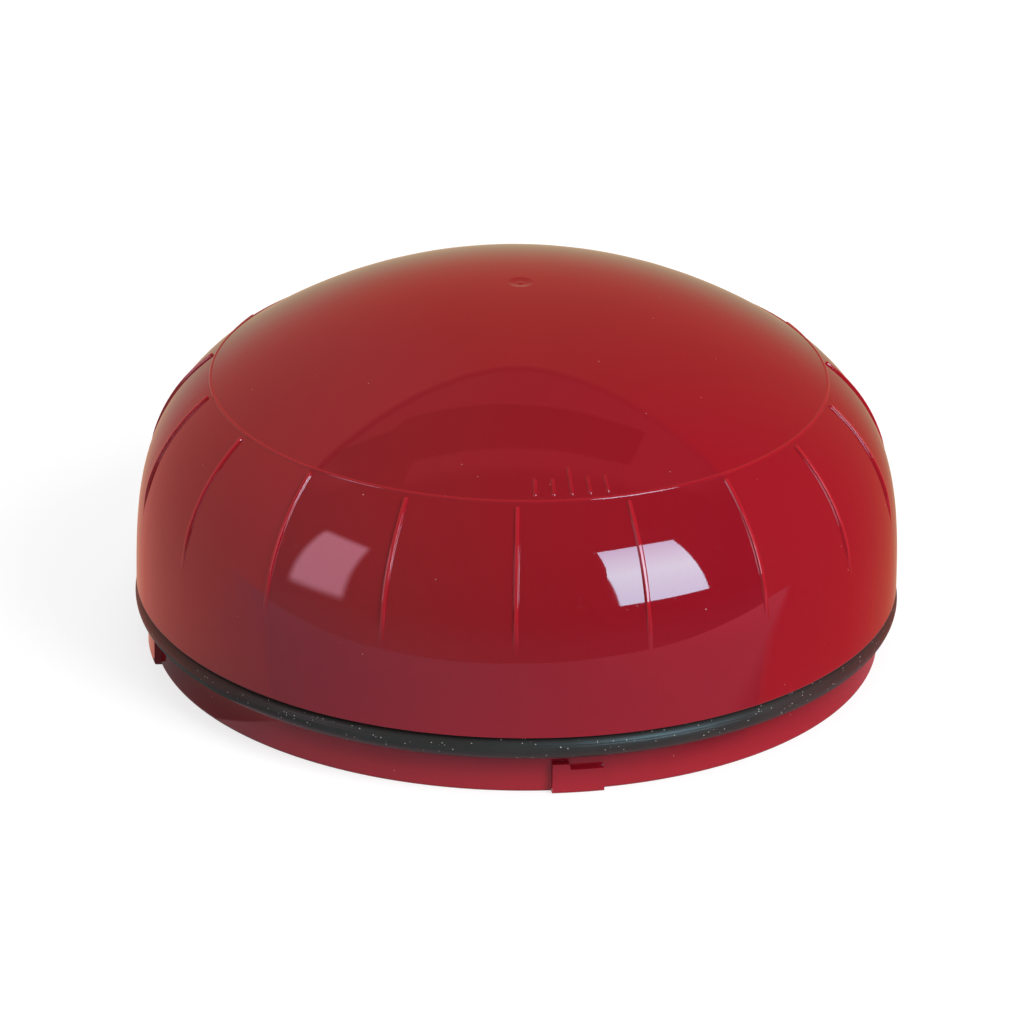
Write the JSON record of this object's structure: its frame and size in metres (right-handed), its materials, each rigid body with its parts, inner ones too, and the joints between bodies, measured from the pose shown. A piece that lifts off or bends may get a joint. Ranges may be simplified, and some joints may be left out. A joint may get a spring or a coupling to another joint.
{
  "type": "fire alarm sounder beacon head",
  "caption": "Round red domed fire alarm head with a sealing ring and outside bayonet lugs that twist-lock into a wall base; light and sounder inside.",
  "frame": {"origin": "centre of the rim's lower face, where the head rests and where it meets the wall base", "axes": "+Z along the dome's axis towards the crown, -Y is the dome's front, +X its right"},
  "size_m": [0.1102, 0.1102, 0.0551],
  "materials": {
    "red_lens": "gloss deep red tinted polycarbonate",
    "seal_rubber": "satin black moulded rubber",
    "chassis_plastic": "satin moulded ivory",
    "zinc_steel": "bright zinc plate",
    "contact_brass": "stamped, satin",
    "board_green": "solder-resist gloss",
    "membrane_white": "fine matt membrane",
    "black_plastic": "satin moulded black",
    "ceramic": "fired, silvered",
    "red_wire": "insulated wire",
    "nickel_brass": "nickel plate",
    "board_white": "white solder resist",
    "diode_lens": "clear silicone over phosphor",
    "reflector_silver": "metallised",
    "socket_nylon": "natural nylon",
    "blue_wire": "insulated wire",
    "capacitor_sleeve": "shrunk sleeve, bare can top",
    "ferrite": "sintered grey",
    "copper_winding": "enamelled wire",
    "chip_black": "moulded epoxy, tinned legs",
    "ceramic_dark": "thick-film body, tinned ends",
    "switch_blue": "moulded",
    "slider_white": "moulded",
    "trimmer_blue": "moulded"
  },
  "bodies": {
    "chassis": {"chassis": "chassis_plastic", "dome_screws": "zinc_steel", "contact_blades": "contact_brass", "contact_rivets": "zinc_steel", "main_board": "board_green", "board_screws": "zinc_steel", "sound_membrane": "membrane_white", "sounder_case": "black_plastic", "sounder_diaphragm": "contact_brass", "piezo_disc": "ceramic", "sounder_clamp_ring": "black_plastic", "sounder_screws": "zinc_steel", "sounder_leads": "red_wire", "light_spacers": "nickel_brass", "spacer_nuts": "zinc_steel", "light_board": "board_white", "light_board_screws": "zinc_steel", "led_packages": "ceramic", "led_lenses": "diode_lens", "reflector": "reflector_silver", "reflector_screw": "zinc_steel", "link_sockets": "socket_nylon", "link_wires": "blue_wire", "filter_capacitors": "capacitor_sleeve", "boost_inductor": "ferrite", "transformer_core": "ferrite", "transformer_winding": "copper_winding", "microcontroller": "chip_black", "driver_chips": "chip_black", "chip_resistors": "ceramic_dark", "tone_switch_case": "switch_blue", "volume_trimmer_case": "trimmer_blue"},
    "dome": {"dome": "red_lens", "sealing_ring": "seal_rubber"},
    "tone_slider_1": {"tone_slider_1": "slider_white"},
    "tone_slider_2": {"tone_slider_2": "slider_white"},
    "tone_slider_3": {"tone_slider_3": "slider_white"},
    "tone_slider_4": {"tone_slider_4": "slider_white"},
    "tone_slider_5": {"tone_slider_5": "slider_white"},
    "volume_trimmer": {"volume_trimmer_rotor": "slider_white"}
  },
  "joints": [
    {"name": "dome_lift", "type": "slide", "parent": "chassis", "child": "dome", "axis": [0, 0, 1], "range_m": [0, 0.06]},
    {"name": "tone_slide_1", "type": "slide", "parent": "chassis", "child": "tone_slider_1", "axis": [0, 1, 0], "range_m": [0, 0.0012]},
    {"name": "tone_slide_2", "type": "slide", "parent": "chassis", "child": "tone_slider_2", "axis": [0, 1, 0], "range_m": [0, 0.0012]},
    {"name": "tone_slide_3", "type": "slide", "parent": "chassis", "child": "tone_slider_3", "axis": [0, 1, 0], "range_m": [0, 0.0012]},
    {"name": "tone_slide_4", "type": "slide", "parent": "chassis", "child": "tone_slider_4", "axis": [0, 1, 0], "range_m": [0, 0.0012]},
    {"name": "tone_slide_5", "type": "slide", "parent": "chassis", "child": "tone_slider_5", "axis": [0, 1, 0], "range_m": [0, 0.0012]},
    {"name": "volume_turn", "type": "hinge", "parent": "chassis", "child": "volume_trimmer", "pos_m": [-0.0145, -0.03, 0.0145], "axis": [0, 0, 1], "range_deg": [-135, 135]}
  ]
}
